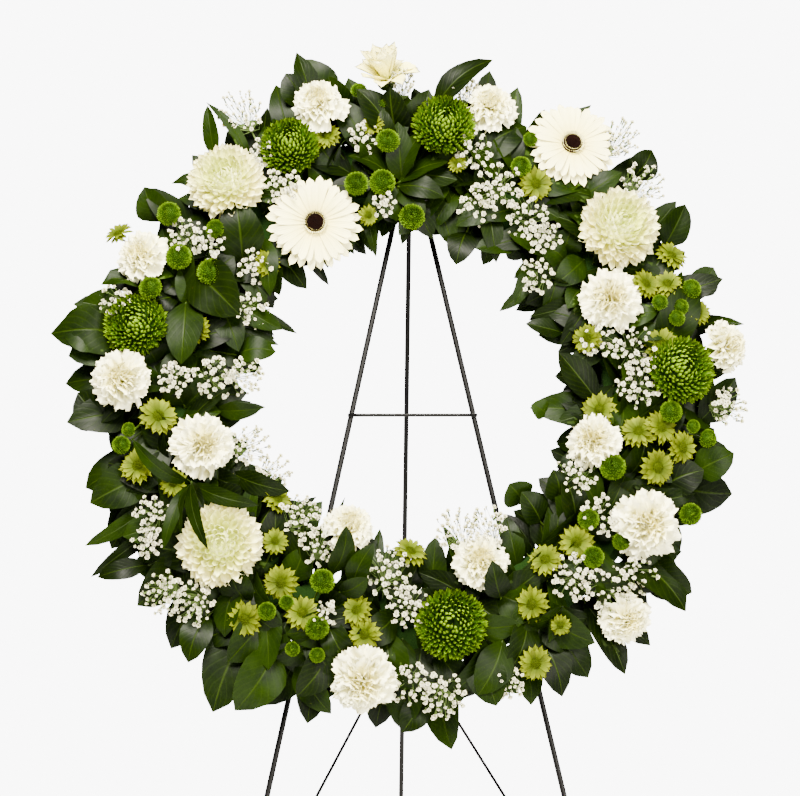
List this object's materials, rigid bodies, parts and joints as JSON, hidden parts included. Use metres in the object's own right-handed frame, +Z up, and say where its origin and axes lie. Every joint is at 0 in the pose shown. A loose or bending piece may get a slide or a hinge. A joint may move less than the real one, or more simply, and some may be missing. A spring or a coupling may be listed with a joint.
{
  "type": "funeral wreath on an easel",
  "caption": "Round funeral wreath of white and green flowers and leaves on a foam ring, hung on a folding three-legged wire easel with a wire stay.",
  "frame": {"origin": "on the floor, under the middle of the object's bounding box", "axes": "+Z up, +X to the viewer's right, -Y out of the wreath's face towards the viewer"},
  "size_m": [0.806, 0.621, 1.4536],
  "materials": {
    "black_wire": "semi-gloss black paint on steel wire",
    "foam": "soaked floral foam",
    "backing": "dull moulded tray",
    "leaf": "waxy upper side, paler dull underside",
    "cream_petal": "soft, matte",
    "white_petal": "soft, matte",
    "green_petal": "soft, matte",
    "lime_petal": "soft, matte",
    "button_petal": "soft, matte",
    "tiny_white_petal": "soft, matte"
  },
  "bodies": {
    "wreath_and_front_frame": {"left_front_leg": "black_wire", "right_front_leg": "black_wire", "crossbar": "black_wire", "pivot_bar": "black_wire", "wreath_hook": "black_wire", "left_stay_eye": "black_wire", "right_stay_eye": "black_wire", "foam_ring": "foam", "ring_backing": "backing", "gerbera_01": "cream_petal", "gerbera_02": "cream_petal", "football_mum_01": "cream_petal", "football_mum_02": "cream_petal", "football_mum_03": "cream_petal", "top_flower": "cream_petal", "spider_mum_01": "green_petal", "spider_mum_02": "green_petal", "spider_mum_03": "green_petal", "spider_mum_04": "green_petal", "spider_mum_05": "green_petal", "carnation_01": "white_petal", "carnation_02": "white_petal", "carnation_03": "white_petal", "carnation_04": "white_petal", "carnation_05": "white_petal", "carnation_06": "white_petal", "carnation_07": "white_petal", "carnation_08": "white_petal", "carnation_09": "white_petal", "carnation_10": "white_petal", "carnation_11": "white_petal", "carnation_12": "white_petal", "carnation_13": "white_petal", "daisy_spray_1": "lime_petal", "daisy_spray_2": "lime_petal", "daisy_spray_3": "lime_petal", "daisy_spray_4": "lime_petal", "daisy_spray_5": "lime_petal", "button_spray_1": "button_petal", "button_spray_2": "button_petal", "button_spray_3": "button_petal", "button_spray_4": "button_petal", "button_spray_5": "button_petal", "babys_breath_1": "tiny_white_petal", "babys_breath_2": "tiny_white_petal", "babys_breath_3": "tiny_white_petal", "babys_breath_4": "tiny_white_petal", "babys_breath_5": "tiny_white_petal", "babys_breath_6": "tiny_white_petal", "babys_breath_7": "tiny_white_petal", "foliage_1": "leaf", "foliage_2": "leaf", "foliage_3": "leaf", "foliage_4": "leaf", "foliage_5": "leaf", "foliage_6": "leaf", "foliage_7": "leaf", "foliage_8": "leaf"},
    "back_leg": {"back_leg": "black_wire"},
    "stay": {"stay": "black_wire"}
  },
  "joints": [
    {"name": "back_leg_fold", "type": "hinge", "parent": "wreath_and_front_frame", "child": "back_leg", "pos_m": [0.01, -0.0717, 1.29882], "axis": [-1, 0, 0], "range_deg": [0, 20]},
    {"name": "stay_swing", "type": "hinge", "parent": "wreath_and_front_frame", "child": "stay", "pos_m": [0.01, -0.22133, 0.43873], "axis": [1, 0, 0], "range_deg": [0, 28.9]}
  ],
  "couplings": [
    {"joint": "stay_swing", "follows": "back_leg_fold", "ratio": 1.444}
  ]
}
